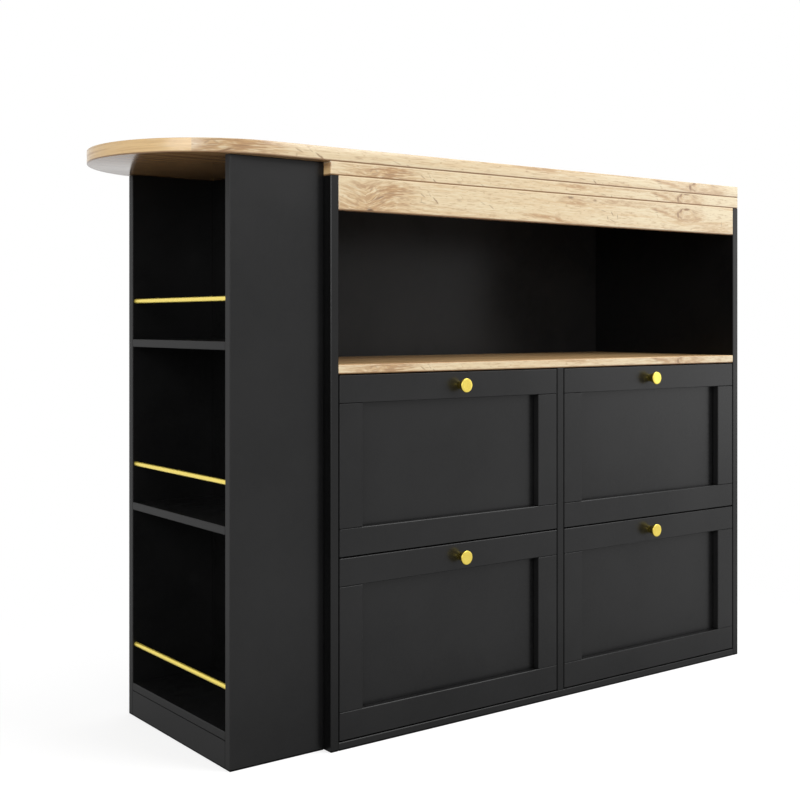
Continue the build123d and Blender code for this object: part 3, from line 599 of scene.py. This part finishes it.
# satin gold plating: drawn lengthwise on the rails, turned in rings on the knobs
goldPlate = dict(
    drawn=dict(bright=(1.000, 0.795, 0.145), deep=(0.950, 0.735, 0.120), metallic=0.55),
    turned=dict(bright=(0.780, 0.622, 0.125), deep=(0.690, 0.510, 0.085), metallic=1.0),
    rings=(3.0, 5200.0), draw=(2600.0, 12.0), hazeScale=60.0, hazeStep=(0.35, 0.8), hazeCover=0.7,
    roughness=0.26, lineRough=0.16, hazeRough=0.12, bump=(0.06, 0.0001),
)


def goldFinish(name, turned):
    plate = goldPlate
    finish = Finish(name)
    if turned:
        turn, run = finish.split(finish.node("ShaderNodeUVMap", {"uv_map": "turning"}))[:2]
        track = finish.vector(turn * plate["rings"][0], run * plate["rings"][1])
    else:
        x, y, z = finish.split(finish.place)
        track = finish.vector(x * plate["draw"][0], y * plate["draw"][1], z * plate["draw"][0])
    lines = finish.noise(track, 1.0, 2.0, 0.6)
    haze = finish.noise(finish.place, plate["hazeScale"], 3.0)
    tint = plate["turned" if turned else "drawn"]
    dulled = finish.between(haze, *plate["hazeStep"]) * plate["hazeCover"]
    colour = finish.blendColour(dulled, tint["bright"], tint["deep"])
    roughness = plate["roughness"] + (lines - 0.5) * plate["lineRough"] + (haze - 0.5) * plate["hazeRough"]
    return finish.shade(lines, plate["bump"], {
        "Base Color": colour, "Roughness": roughness, "Metallic": tint["metallic"]})


# zinc plating on runners, screws, cams and bolts
zincPlate = dict(
    light=(0.62, 0.63, 0.65), dull=(0.40, 0.41, 0.43),
    draw=(900.0, 14.0), bloomScale=90.0, bloomStep=(0.3, 0.75),
    roughness=0.32, bloomRough=0.2, drawRough=0.15, bump=(0.06, 0.0002),
)


def zincFinish():
    plate = zincPlate
    finish = Finish("zinc_plate")
    x, y, z = finish.split(finish.place)
    track = finish.vector(x * plate["draw"][0], y * plate["draw"][1], z * plate["draw"][0])
    drawn = finish.noise(track, 1.0, 2.0, 0.6)
    bloom = finish.noise(finish.place, plate["bloomScale"], 4.0, 0.65)
    colour = finish.blendColour(finish.between(bloom, *plate["bloomStep"]), plate["light"], plate["dull"])
    roughness = plate["roughness"] + (bloom - 0.5) * plate["bloomRough"] + (drawn - 0.5) * plate["drawRough"]
    return finish.shade(drawn, plate["bump"], {"Base Color": colour, "Roughness": roughness, "Metallic": 1.0})


# raw beech of the dowels, with the small dark flecks of that wood
beech = dict(
    light=(0.66, 0.47, 0.29), dark=(0.47, 0.29, 0.155), grainScale=420.0, grainStep=(0.3, 0.7),
    fleckScale=1300.0, fleckStep=(0.62, 0.72), fleckCover=0.5,
    roughness=0.6, grainRough=0.2, bump=(0.15, 0.0003),
)


def beechFinish():
    finish = Finish("raw_beech")
    grain = finish.noise(finish.place, beech["grainScale"], 4.0, 0.65, 0.4)
    fleck = finish.between(finish.noise(finish.place, beech["fleckScale"], 1.0), *beech["fleckStep"])
    colour = finish.blendColour(finish.between(grain, *beech["grainStep"]), beech["light"], beech["dark"])
    colour = finish.blendColour(fleck * beech["fleckCover"], colour, beech["dark"])
    roughness = beech["roughness"] + grain * beech["grainRough"]
    return finish.shade(grain, beech["bump"], {"Base Color": colour, "Roughness": roughness})


# geometry trees: run one on points or on nothing, and keep the result as a plain mesh
def geometryTree(name, inputs):
    group = bpy.data.node_groups.new(name, "GeometryNodeTree")
    for label, kind in inputs.items():
        group.interface.new_socket(label, in_out="INPUT", socket_type="NodeSocket" + kind)
    group.interface.new_socket("Geometry", in_out="OUTPUT", socket_type="NodeSocketGeometry")
    tree = Tree(group)
    first = tree.node("NodeGroupInput")
    wires = {wire.socket.name: wire for wire in tree.outputs(first)}
    return tree, wires


def closeTree(tree, geometry, material):
    solid = tree.node("GeometryNodeRealizeInstances", None, {0: geometry})
    coated = tree.node("GeometryNodeSetMaterial", None, {"Geometry": solid, "Material": material})
    tree.node("NodeGroupOutput", None, {0: coated}, None)


def runTree(tree, name, values, mesh=None, bevel=None):
    holder = bpy.data.objects.new(name + "_maker", mesh or bpy.data.meshes.new(name + "_points"))
    bpy.context.scene.collection.objects.link(holder)
    maker = holder.modifiers.new("maker", "NODES")
    maker.node_group = tree.nodeTree
    for item in tree.nodeTree.interface.items_tree:
        if item.in_out == "INPUT" and item.name in values:
            maker[item.identifier] = values[item.name]
    if bevel:
        rounding = holder.modifiers.new("rounding", "BEVEL")
        rounding.width = bevel["width"]
        rounding.segments = bevel["segments"]
        rounding.limit_method = "ANGLE"
        rounding.angle_limit = math.radians(bevel["angle"])
    graph = bpy.context.evaluated_depsgraph_get()
    plain = bpy.data.meshes.new_from_object(holder.evaluated_get(graph))
    plain.name = name
    bpy.data.objects.remove(holder)
    return plain


def addPiece(name, mesh, body, replaced):
    piece = bpy.data.objects.new(name, mesh)
    bpy.context.scene.collection.objects.link(piece)
    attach(piece, body)
    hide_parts(*replaced)
    return piece


def smoothShade(mesh, degrees):
    mesh.shade_smooth()
    mesh.set_sharp_from_angle(angle=math.radians(degrees))


# worktop: a board with one half-round end and softly rounded edges
topLow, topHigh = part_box("worktop")
worktop = dict(
    radius=(topHigh.y - topLow.y) / 2,
    arcX=topLow.x + (topHigh.y - topLow.y) / 2,
    right=topHigh.x, low=topLow.z, high=topHigh.z,
    roundPoints=97, edgeRadius=0.0012, edgeSteps=3, edgeAngle=40, smoothAngle=35,
)


def makeWorktop(material):
    tree, put = geometryTree("half_round_board", {
        "Round Points": "Int", "Radius": "Float", "Arc X": "Float", "Right": "Float",
        "Low": "Float", "High": "Float", "Material": "Material"})
    outline = tree.node("GeometryNodeCurvePrimitiveCircle", {"mode": "RADIUS"},
                        {"Resolution": put["Round Points"] + 2, "Radius": put["Radius"]})
    index = tree.node("GeometryNodeInputIndex")
    corner = index > put["Round Points"] - 0.5
    last = index > put["Round Points"] + 0.5
    angle = math.pi / 2 + math.pi * index / (put["Round Points"] - 1)
    x = corner * put["Right"] + (1 - corner) * (put["Arc X"] + put["Radius"] * angle.math("COSINE"))
    y = corner * put["Radius"] * (2 * last - 1) + (1 - corner) * put["Radius"] * angle.math("SINE")
    outline = tree.node("GeometryNodeSetPosition", None,
                        {"Geometry": outline, "Position": tree.vector(x, y)})
    face = tree.node("GeometryNodeFillCurve", {"mode": "NGONS"}, {0: outline})
    raised = tree.node("GeometryNodeExtrudeMesh", {"mode": "FACES"},
                       {"Mesh": face, "Offset": tree.vector(0.0, 0.0, 1.0),
                        "Offset Scale": put["High"] - put["Low"]})
    under = tree.node("GeometryNodeFlipFaces", None, {0: face})
    both = tree.node("GeometryNodeJoinGeometry", None, {0: [raised, under]})
    welded = tree.node("GeometryNodeMergeByDistance", None, {0: both})
    lifted = tree.node("GeometryNodeTransform", None,
                       {"Geometry": welded, "Translation": tree.vector(0.0, 0.0, put["Low"])})
    closeTree(tree, lifted, put["Material"])
    values = {"Round Points": worktop["roundPoints"], "Radius": worktop["radius"], "Arc X": worktop["arcX"],
              "Right": worktop["right"], "Low": worktop["low"], "High": worktop["high"], "Material": material}
    bevel = dict(width=worktop["edgeRadius"], segments=worktop["edgeSteps"], angle=worktop["edgeAngle"])
    mesh = runTree(tree, "worktop_board", values, bevel=bevel)
    smoothShade(mesh, worktop["smoothAngle"])
    return addPiece("worktop_board", mesh, "cabinet", ["worktop"])


# knobs: turned in one piece, a cone that widens to a flat face with a rounded rim
knob = dict(
    stem=0.007, neck=0.002, coneSteps=10, hollow=0.10, head=0.003, rim=0.0012, rimSteps=5,
    dish=0.00015, dishAt=0.6, dishShare=0.8, sides=64, smoothAngle=30,
)


def knobProfile(reach, radius):
    # (radius, distance from the front), from the drawer front out to the middle of the face
    points = [(0.0, 0.0), (knob["stem"], 0.0), (knob["stem"], knob["neck"])]
    coneEnd = reach - knob["head"]
    for step in range(1, knob["coneSteps"] + 1):
        share = step / knob["coneSteps"]
        drawnIn = share - knob["hollow"] * 4 * share * (1 - share)
        points.append((knob["stem"] + (radius - knob["stem"]) * drawnIn,
                       knob["neck"] + (coneEnd - knob["neck"]) * share))
    for step in range(knob["rimSteps"] + 1):
        angle = math.pi / 2 * step / knob["rimSteps"]
        points.append((radius - knob["rim"] * (1 - math.cos(angle)),
                       reach - knob["rim"] * (1 - math.sin(angle))))
    points.append((radius * knob["dishAt"], reach - knob["dish"] * knob["dishShare"]))
    points.append((0.0, reach - knob["dish"]))
    return points


def makeKnob(place, material):
    node = place + "_drawer_knob"
    low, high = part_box(node)
    middle = (low + high) / 2
    profile = knobProfile(high.y - low.y, (high.x - low.x) / 2)
    lengths = [0.0]
    for first, second in zip(profile, profile[1:]):
        lengths.append(lengths[-1] + math.dist(first, second))
    mesh = bmesh.new()
    turning = mesh.loops.layers.uv.new("turning")
    sides = knob["sides"]
    rows = []
    for radius, reach in profile:
        row = []
        for side in range(1 if radius == 0.0 else sides):
            angle = 2 * math.pi * side / sides
            row.append(mesh.verts.new((middle.x + radius * math.cos(angle), high.y - reach,
                                       middle.z + radius * math.sin(angle))))
        rows.append(row)
    for row in range(len(rows) - 1):
        for side in range(sides):
            corners = []
            for level, step in ((row, side), (row, side + 1), (row + 1, side + 1), (row + 1, side)):
                vertex = rows[level][step % len(rows[level])]
                if vertex not in [corner[0] for corner in corners]:
                    corners.append((vertex, step / sides, lengths[level]))
            face = mesh.faces.new([corner[0] for corner in corners])
            for loop, corner in zip(face.loops, corners):
                loop[turning].uv = (corner[1], corner[2])
    bmesh.ops.recalc_face_normals(mesh, faces=mesh.faces)
    plain = bpy.data.meshes.new(place + "_knob_turned")
    mesh.to_mesh(plain)
    mesh.free()
    plain.materials.append(material)
    smoothShade(plain, knob["smoothAngle"])
    return addPiece(place + "_knob_turned", plain, place + "_drawer", [node])


# screws: cross-recessed heads on their shanks, each set where a CAD screw is and facing the same way
# sizes in millimetres, lengths over all; a countersunk head narrows to its shank
screwKinds = {
    "wood": dict(length=30.0, top=4.0, base=2.0, height=2.0, shank=2.0, recess=4.6, slot=0.9),
    "front": dict(length=24.0, top=4.0, base=2.0, height=2.0, shank=2.0, recess=4.6, slot=0.9),
    "runner": dict(length=8.7, top=2.75, base=3.25, height=1.5, shank=1.75, recess=3.2, slot=0.7),
    "knob": dict(length=30.5, top=3.4, base=4.0, height=2.5, shank=2.0, recess=4.6, slot=0.9),
    "bolt": dict(length=26.0, top=6.9, base=7.5, height=2.0, shank=3.0, recess=6.4, slot=1.3),
    "sleeve": dict(length=24.0, top=6.9, base=7.5, height=2.0, shank=4.0, recess=6.4, slot=1.3),
}
screwInputs = {"Length": "length", "Top Radius": "top", "Base Radius": "base", "Head Height": "height",
               "Shank Radius": "shank", "Recess": "recess", "Slot Width": "slot"}
screwShape = dict(headSides=24, shankSides=12, taper=0.75, recessDepth=1.2, smoothAngle=30)
screwSeed = 5
weldGap = 0.002 * millimetre
endBand = 0.1 * millimetre


def screwTree():
    inputs = {"Points": "Geometry", "Material": "Material"}
    inputs.update({label: "Float" for label in screwInputs})
    tree, put = geometryTree("cross_head_screws", inputs)
    head = tree.node("GeometryNodeMeshCone", None, {
        "Vertices": screwShape["headSides"], "Radius Top": put["Top Radius"],
        "Radius Bottom": put["Base Radius"], "Depth": put["Head Height"]})
    head = tree.node("GeometryNodeTransform", None,
                     {"Geometry": head, "Translation": tree.vector(0.0, 0.0, put["Head Height"] * -1.0)})
    bars = []
    for long, wide in (("Recess", "Slot Width"), ("Slot Width", "Recess")):
        size = tree.vector(put[long], put[wide], put["Head Height"] * screwShape["recessDepth"])
        bars.append(tree.node("GeometryNodeMeshCube", None, {"Size": size}))
    head = tree.node("GeometryNodeMeshBoolean", {"operation": "DIFFERENCE"}, {0: head, 1: bars})
    # the shank tapers a little to its tip
    shankLength = put["Length"] - put["Head Height"]
    shank = tree.node("GeometryNodeMeshCone", None, {
        "Vertices": screwShape["shankSides"], "Radius Top": put["Shank Radius"],
        "Radius Bottom": put["Shank Radius"] * screwShape["taper"], "Depth": shankLength})
    shank = tree.node("GeometryNodeTransform", None,
                      {"Geometry": shank, "Translation": tree.vector(0.0, 0.0, put["Length"] * -1.0)})
    screw = tree.node("GeometryNodeJoinGeometry", None, {0: [head, shank]})
    facing = tree.node("GeometryNodeInputNamedAttribute", {"data_type": "FLOAT_VECTOR"}, {"Name": "facing"})
    turn = tree.node("GeometryNodeInputNamedAttribute", {"data_type": "FLOAT"}, {"Name": "turn"})
    aim = tree.node("FunctionNodeAlignRotationToVector", {"axis": "Z"}, {"Vector": facing})
    spin = tree.node("FunctionNodeAxisAngleToRotation", None, {"Axis": (0.0, 0.0, 1.0), "Angle": turn})
    aim = tree.node("FunctionNodeRotateRotation", {"rotation_space": "LOCAL"}, {0: aim, 1: spin})
    placed = tree.node("GeometryNodeInstanceOnPoints", None,
                       {"Points": put["Points"], "Instance": screw, "Rotation": aim})
    closeTree(tree, placed, put["Material"])
    return tree


def looseSolids(node):
    # the corner points of each separate solid in a CAD node, read from a merged copy
    mesh = bmesh.new()
    mesh.from_mesh(nodes[node].data)
    bmesh.ops.remove_doubles(mesh, verts=mesh.verts, dist=weldGap)
    waiting = set(mesh.verts)
    solids = []
    while waiting:
        reached = [waiting.pop()]
        for vertex in reached:
            joined = {edge.other_vert(vertex) for edge in vertex.link_edges} & waiting
            waiting -= joined
            reached.extend(joined)
        solids.append([vertex.co.copy() for vertex in reached])
    mesh.free()
    return sorted(solids, key=lambda points: tuple(
        round(value, 4) for value in sum(points, Vector()) / len(points)))


def screwPlace(points):
    # (kind, middle of the head's outer face, way it faces) of one CAD screw
    low = Vector([min(point[k] for point in points) for k in range(3)])
    high = Vector([max(point[k] for point in points) for k in range(3)])
    size = high - low
    axis = max(range(3), key=lambda k: size[k])
    middle = (low + high) / 2
    spread = {}
    for end in (low[axis], high[axis]):
        offsets = [point - middle for point in points if abs(point[axis] - end) < endBand]
        for offset in offsets:
            offset[axis] = 0.0
        spread[end] = max(offset.length for offset in offsets)
    outer = max(spread, key=spread.get)
    way = Vector((0.0, 0.0, 0.0))
    way[axis] = 1.0 if outer > middle[axis] else -1.0
    place = middle.copy()
    place[axis] = outer
    radius = max(size[k] for k in range(3) if k != axis) / 2
    kind = min(screwKinds, key=lambda name: abs(screwKinds[name]["length"] * millimetre - size[axis])
               + abs(max(screwKinds[name]["top"], screwKinds[name]["base"]) * millimetre - radius))
    return kind, place, way


def joinMeshes(name, meshes):
    whole = bmesh.new()
    for mesh in meshes:
        whole.from_mesh(mesh)
    plain = bpy.data.meshes.new(name)
    whole.to_mesh(plain)
    whole.free()
    plain.materials.append(meshes[0].materials[0])
    return plain


def makeScrews(tree, name, body, node, material, draw):
    places = [screwPlace(points) for points in looseSolids(node)]
    meshes = []
    for kind, sizes in screwKinds.items():
        chosen = [(place, way) for found, place, way in places if found == kind]
        if not chosen:
            continue
        holder = bpy.data.meshes.new("screw_points")
        holder.from_pydata([place for place, way in chosen], [], [])
        holder.attributes.new("facing", "FLOAT_VECTOR", "POINT")
        holder.attributes.new("turn", "FLOAT", "POINT")
        for entry, (place, way) in enumerate(chosen):
            holder.attributes["facing"].data[entry].vector = way
            holder.attributes["turn"].data[entry].value = draw.uniform(0.0, math.pi / 2)
        values = {label: sizes[key] * millimetre for label, key in screwInputs.items()}
        values["Material"] = material
        meshes.append(runTree(tree, "screws_" + kind, values, holder))
    mesh = joinMeshes(name, meshes)
    smoothShade(mesh, screwShape["smoothAngle"])
    return addPiece(name, mesh, body, [node])


# finishes onto the CAD nodes, then the pieces that Blender makes
black = blackFinish("satin_black", True, blackCoat["specular"])
zinc = zincFinish()
slotFinishes = {
    "black_board": black, "zinc_steel": zinc, "drawer_board": boxFinish(), "dowel_wood": beechFinish(),
    "gold_metal": goldFinish("gold_drawn", False),
}
goldTurned = goldFinish("gold_turned", True)
boardFinishes = {name: oakFinish(name) for name in oakBoards}
# painted shade: a darker copy of the coating on the side panels, the partition and the tower's inner panel
shadedSideBlack = blackFinish("satin_black_side", False, blackCoat["specular"], blackCoat["sideShadeTone"])
for name in ("left_side_panel", "right_side_panel", "partition", "tower_inner_panel"):
    boardFinishes[name] = shadedSideBlack
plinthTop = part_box("tower_plinth")[1].z
boardFinishes["tower_plinth"] = blackFinish("satin_black_plinth", True, blackCoat["specular"],
                                            joint=plinthTop)
# painted light: a lighter copy of the coating, with less reflection, on the back panel
boardFinishes["back_panel"] = blackFinish("satin_black_back", False, blackCoat["backSpecular"],
                                          blackCoat["backLightTone"])
for subpart in record["subparts"]:
    node = nodes[subpart["node"]]
    finish = boardFinishes.get(subpart["node"]) or slotFinishes[subpart["material_slot"]]
    node.data.materials.clear()
    node.data.materials.append(finish)
print("finishes on", len(record["subparts"]), "CAD nodes")

makeWorktop(boardFinishes["worktop"])
print("worktop made")

for place in drawerPlaces:
    makeKnob(place, goldTurned)
print("knobs made")

crossHeads = screwTree()
screwDraw = random.Random(screwSeed)
makeScrews(crossHeads, "cabinet_screw_set", "cabinet", "cabinet_screws", zinc, screwDraw)
makeScrews(crossHeads, "tower_bolt_set", "cabinet", "tower_bolts", zinc, screwDraw)
for place in drawerPlaces:
    makeScrews(crossHeads, place + "_screw_set", place + "_drawer", place + "_drawer_screws", zinc, screwDraw)
print("screws made")

# studio: pale floor that fades into a white surround, and large soft lamps
studio = dict(
    floorSize=40.0, floorDrop=0.0003, floorColour=(0.43, 0.43, 0.43),
    floorLift=0.72, mirrorLift=0.25, bounceLift=0.08,   # glow of the paper, as seen, mirrored and lighting
    fade=(0.05, 0.82),                  # where the paper goes over into white, from the table's edges
    sideFade=1.6,                       # how much sooner the paper fades out beside the table
    surround=0.50,
    lamps=(
        dict(name="front", place=(2.0, -3.6, 3.5), aim=(0.0, -0.2, 0.5), size=3.0, power=110.0),
        dict(name="right", place=(4.0, -2.2, 1.0), aim=(0.3, -0.2, 0.5), size=3.4, power=28.0),
        dict(name="left", place=(-3.6, -2.4, 1.8), aim=(-0.5, -0.1, 0.6), size=2.4, power=66.0),
        dict(name="above", place=(1.5, -0.5, 3.1), aim=(-0.05, 0.0, 0.8), size=2.4, power=40.0),
    ),
)
white = (1.0, 1.0, 1.0)


def seenRays(tree):
    # (camera, mirror and glass): 1 for such rays, 0 for the rays that light a matt surface
    rays = {wire.socket.name: wire for wire in tree.outputs(tree.node("ShaderNodeLightPath"))}
    return rays["Is Camera Ray"], (rays["Is Glossy Ray"] + rays["Is Transmission Ray"]).capped()


def makeSurround():
    world = bpy.data.worlds.new("surround")
    bpy.context.scene.world = world
    world.use_nodes = True
    tree = Tree(world.node_tree)
    tree.nodeTree.nodes.clear()
    direct, mirrored = seenRays(tree)
    strength = tree.blendValue((direct + mirrored).capped(), studio["surround"], 1.0)
    sky = tree.node("ShaderNodeBackground", None, {"Color": asColour(white), "Strength": strength})
    tree.node("ShaderNodeOutputWorld", None, {0: sky}, None)


def paperFinish():
    # near the table the floor is paper with the table's shadow, further out it is the white of the surround
    paper = Finish("floor_paper")
    direct, mirrored = seenRays(paper)
    seen = (direct + mirrored).capped()
    x, y = paper.split(paper.place)[:2]
    middle = (cadBox[0] + cadBox[1]) / 2
    beside = ((x - middle.x).size() - (cadBox[1].x - middle.x)).math("MAXIMUM", 0.0) * studio["sideFade"]
    before = ((y - middle.y).size() - (cadBox[1].y - middle.y)).math("MAXIMUM", 0.0)
    away = (beside * beside + before * before).math("SQRT")
    far = paper.between(away, *studio["fade"]) * seen
    matt = paper.node("ShaderNodeBsdfDiffuse", None, {"Color": asColour(studio["floorColour"])})
    lift = direct * studio["floorLift"] + mirrored * studio["mirrorLift"]
    lift = lift + (1.0 - seen) * studio["bounceLift"]
    glow = paper.node("ShaderNodeEmission", None, {"Color": asColour(white), "Strength": lift})
    near = paper.node("ShaderNodeAddShader", None, {0: matt, 1: glow})
    plain = paper.node("ShaderNodeEmission", None, {"Color": asColour(white), "Strength": 1.0})
    both = paper.node("ShaderNodeMixShader", None, {0: far, 1: near, 2: plain})
    paper.node("ShaderNodeOutputMaterial", None, {0: both}, None)
    return paper.material


def makeFloor():
    half = studio["floorSize"] / 2
    corners = [(x * half, y * half, -studio["floorDrop"]) for x, y in ((-1, -1), (1, -1), (1, 1), (-1, 1))]
    mesh = bpy.data.meshes.new("floor")
    mesh.from_pydata(corners, [], [(0, 1, 2, 3)])
    mesh.materials.append(paperFinish())
    floor = bpy.data.objects.new("floor", mesh)
    bpy.context.scene.collection.objects.link(floor)


def makeLamps():
    for lamp in studio["lamps"]:
        light = bpy.data.lights.new(lamp["name"], "AREA")
        light.shape = "DISK"
        light.size = lamp["size"]
        light.energy = lamp["power"]
        holder = bpy.data.objects.new(lamp["name"], light)
        holder.location = lamp["place"]
        beam = Vector(lamp["aim"]) - Vector(lamp["place"])
        holder.rotation_euler = beam.to_track_quat("-Z", "Y").to_euler()
        bpy.context.scene.collection.objects.link(holder)


# camera: level, turned to the right, with the picture shifted down to frame the table
camera = dict(
    place=(-1.60213, -1.86725, 0.68161), turn=-36.617,
    lens=56.80, sensor=36.0, shiftX=-0.0005, shiftY=-0.0973,
)


def makeCamera():
    lens = bpy.data.cameras.new("camera")
    lens.sensor_width = camera["sensor"]
    lens.lens = camera["lens"]
    lens.shift_x = camera["shiftX"]
    lens.shift_y = camera["shiftY"]
    holder = bpy.data.objects.new("camera", lens)
    holder.location = camera["place"]
    holder.rotation_euler = (math.radians(90), 0.0, math.radians(camera["turn"]))
    bpy.context.scene.collection.objects.link(holder)
    bpy.context.scene.camera = holder


makeSurround()
makeFloor()
makeLamps()
makeCamera()
bpy.context.scene.view_settings.view_transform = "Standard"
print("studio and camera ready")
